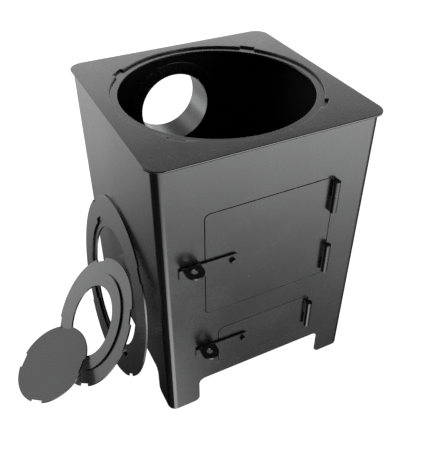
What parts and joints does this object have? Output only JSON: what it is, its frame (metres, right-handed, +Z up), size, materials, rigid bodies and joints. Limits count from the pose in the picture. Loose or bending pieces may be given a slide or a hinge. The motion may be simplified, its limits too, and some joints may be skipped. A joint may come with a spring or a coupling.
{
  "type": "outdoor cooking stove",
  "caption": "Square sheet-steel wood stove with a round hob opening for a cauldron, fire and ash doors, a rear flue stub and loose hob rings.",
  "frame": {"origin": "on the floor under the middle of the square shell", "axes": "+Z up, front face with the doors towards -Y, flue towards +Y, +X to the right seen from the front"},
  "size_m": [0.7036, 0.5338, 0.596],
  "materials": {
    "painted_steel": "satin black-grey heat-resistant paint",
    "sooty_steel": "dull black, sooty",
    "bolt_steel": "satin black painted steel",
    "pin_steel": "plain turned steel",
    "cast_iron": "raw casting"
  },
  "bodies": {
    "stove": {"body_shell": "painted_steel", "back_panel": "painted_steel", "top_plate": "painted_steel", "seat_ring": "painted_steel", "flue_pipe": "painted_steel", "flue_flange": "sooty_steel", "floor_plate": "sooty_steel", "fire_shelf": "sooty_steel", "shelf_bracket_left": "sooty_steel", "shelf_bracket_right": "sooty_steel", "fire_door_frame": "sooty_steel", "ash_door_frame": "sooty_steel", "fire_upper_body_knuckle": "painted_steel", "fire_lower_body_knuckle": "painted_steel", "ash_body_knuckle": "painted_steel", "fire_upper_hinge_pin": "pin_steel", "fire_lower_hinge_pin": "pin_steel", "ash_hinge_pin": "pin_steel"},
    "fire_door_leaf": {"fire_door": "painted_steel", "fire_upper_door_knuckle": "painted_steel", "fire_lower_door_knuckle": "painted_steel"},
    "ash_door_leaf": {"ash_door": "painted_steel", "ash_door_knuckle": "painted_steel"},
    "fire_latch": {"fire_latch_lever": "painted_steel", "fire_latch_bolt": "bolt_steel", "fire_latch_spacers": "bolt_steel", "fire_latch_tongue": "sooty_steel", "fire_latch_nut": "bolt_steel"},
    "ash_latch": {"ash_latch_lever": "painted_steel", "ash_latch_bolt": "bolt_steel", "ash_latch_spacers": "bolt_steel", "ash_latch_tongue": "sooty_steel", "ash_latch_nut": "bolt_steel"},
    "loose_grate": {"grate": "cast_iron"},
    "large_ring": {"ring_large_plate": "painted_steel", "ring_large_ledge": "painted_steel"},
    "medium_ring": {"ring_medium_plate": "painted_steel", "ring_medium_ledge": "painted_steel"},
    "small_disc": {"centre_disc": "painted_steel"}
  },
  "joints": [
    {"name": "fire_door_hinge", "type": "hinge", "parent": "stove", "child": "fire_door_leaf", "pos_m": [0.1298, -0.2185, 0.3707], "axis": [0, 0, 1], "range_deg": [0, 165]},
    {"name": "ash_door_hinge", "type": "hinge", "parent": "stove", "child": "ash_door_leaf", "pos_m": [0.1044, -0.2185, 0.151], "axis": [0, 0, 1], "range_deg": [0, 165]},
    {"name": "fire_latch_turn", "type": "hinge", "parent": "fire_door_leaf", "child": "fire_latch", "pos_m": [-0.0748, -0.2113, 0.3707], "axis": [0, -1, 0], "range_deg": [0, 45]},
    {"name": "ash_latch_turn", "type": "hinge", "parent": "ash_door_leaf", "child": "ash_latch", "pos_m": [-0.0477, -0.2113, 0.151], "axis": [0, -1, 0], "range_deg": [0, 45]},
    {"name": "grate_lift", "type": "slide", "parent": "stove", "child": "loose_grate", "axis": [0, 0, 1], "range_m": [0, 0.06]},
    {"name": "large_ring_slide", "type": "slide", "parent": "stove", "child": "large_ring", "axis": [-1, 0, 0], "range_m": [0, 0.15]},
    {"name": "medium_ring_slide", "type": "slide", "parent": "large_ring", "child": "medium_ring", "axis": [-1, 0, 0], "range_m": [0, 0.15]},
    {"name": "small_disc_slide", "type": "slide", "parent": "medium_ring", "child": "small_disc", "axis": [-1, 0, 0], "range_m": [0, 0.15]}
  ]
}
